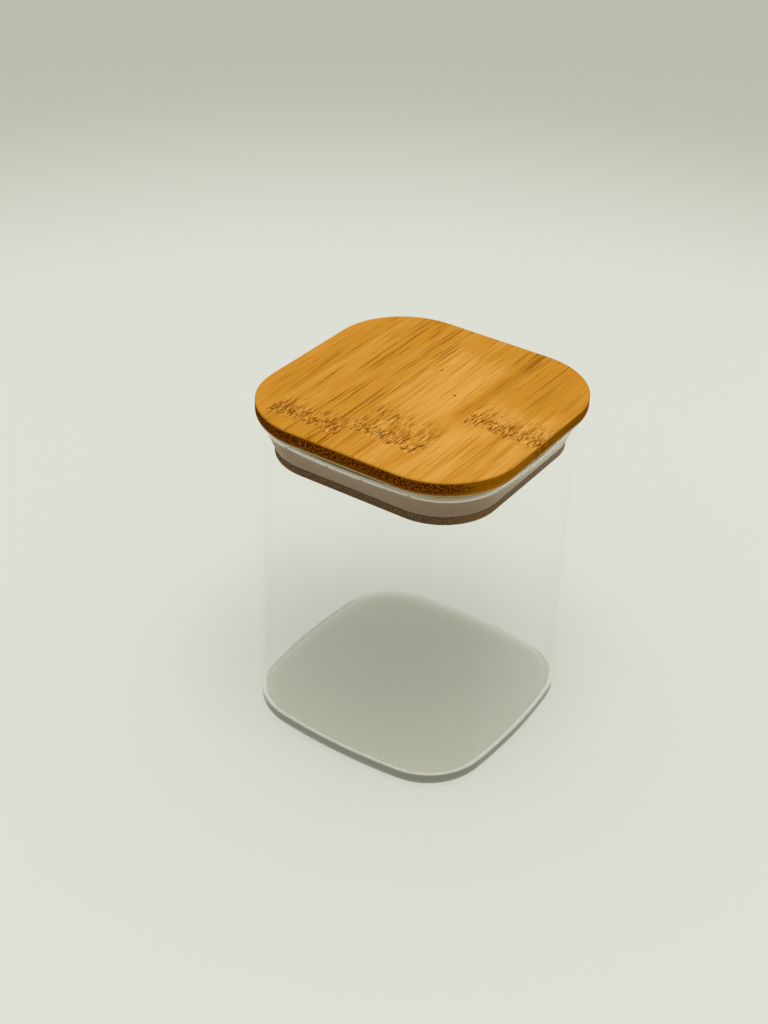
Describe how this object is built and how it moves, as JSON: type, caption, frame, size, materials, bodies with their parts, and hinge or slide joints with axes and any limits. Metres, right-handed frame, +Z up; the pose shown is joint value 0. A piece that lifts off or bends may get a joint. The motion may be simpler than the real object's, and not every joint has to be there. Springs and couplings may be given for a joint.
{
  "type": "spice jar",
  "caption": "Square glass jar with round corners and bowed sides, closed by a lift-off lid of glued wooden slats with a plug board and a soft seal ring.",
  "frame": {"origin": "middle of the base, on the surface that the jar stands on", "axes": "+Z up through the lid, +X along the grain of the cover's slats, +Y towards the narrow slat"},
  "size_m": [0.075, 0.075, 0.0994],
  "materials": {
    "clear_glass": "polished",
    "cover_bamboo": "satin lacquer",
    "plug_wood": "matte",
    "seal_silicone": "translucent, satin"
  },
  "bodies": {
    "jar": {"glass_jar": "clear_glass"},
    "lid": {"cover_slat_1": "cover_bamboo", "cover_slat_2": "cover_bamboo", "cover_slat_3": "cover_bamboo", "cover_slat_4": "cover_bamboo", "lid_plug": "plug_wood", "lid_seal": "seal_silicone"}
  },
  "joints": [
    {"name": "lid_lift", "type": "slide", "parent": "jar", "child": "lid", "axis": [0, 0, 1], "range_m": [0, 0.08]}
  ]
}
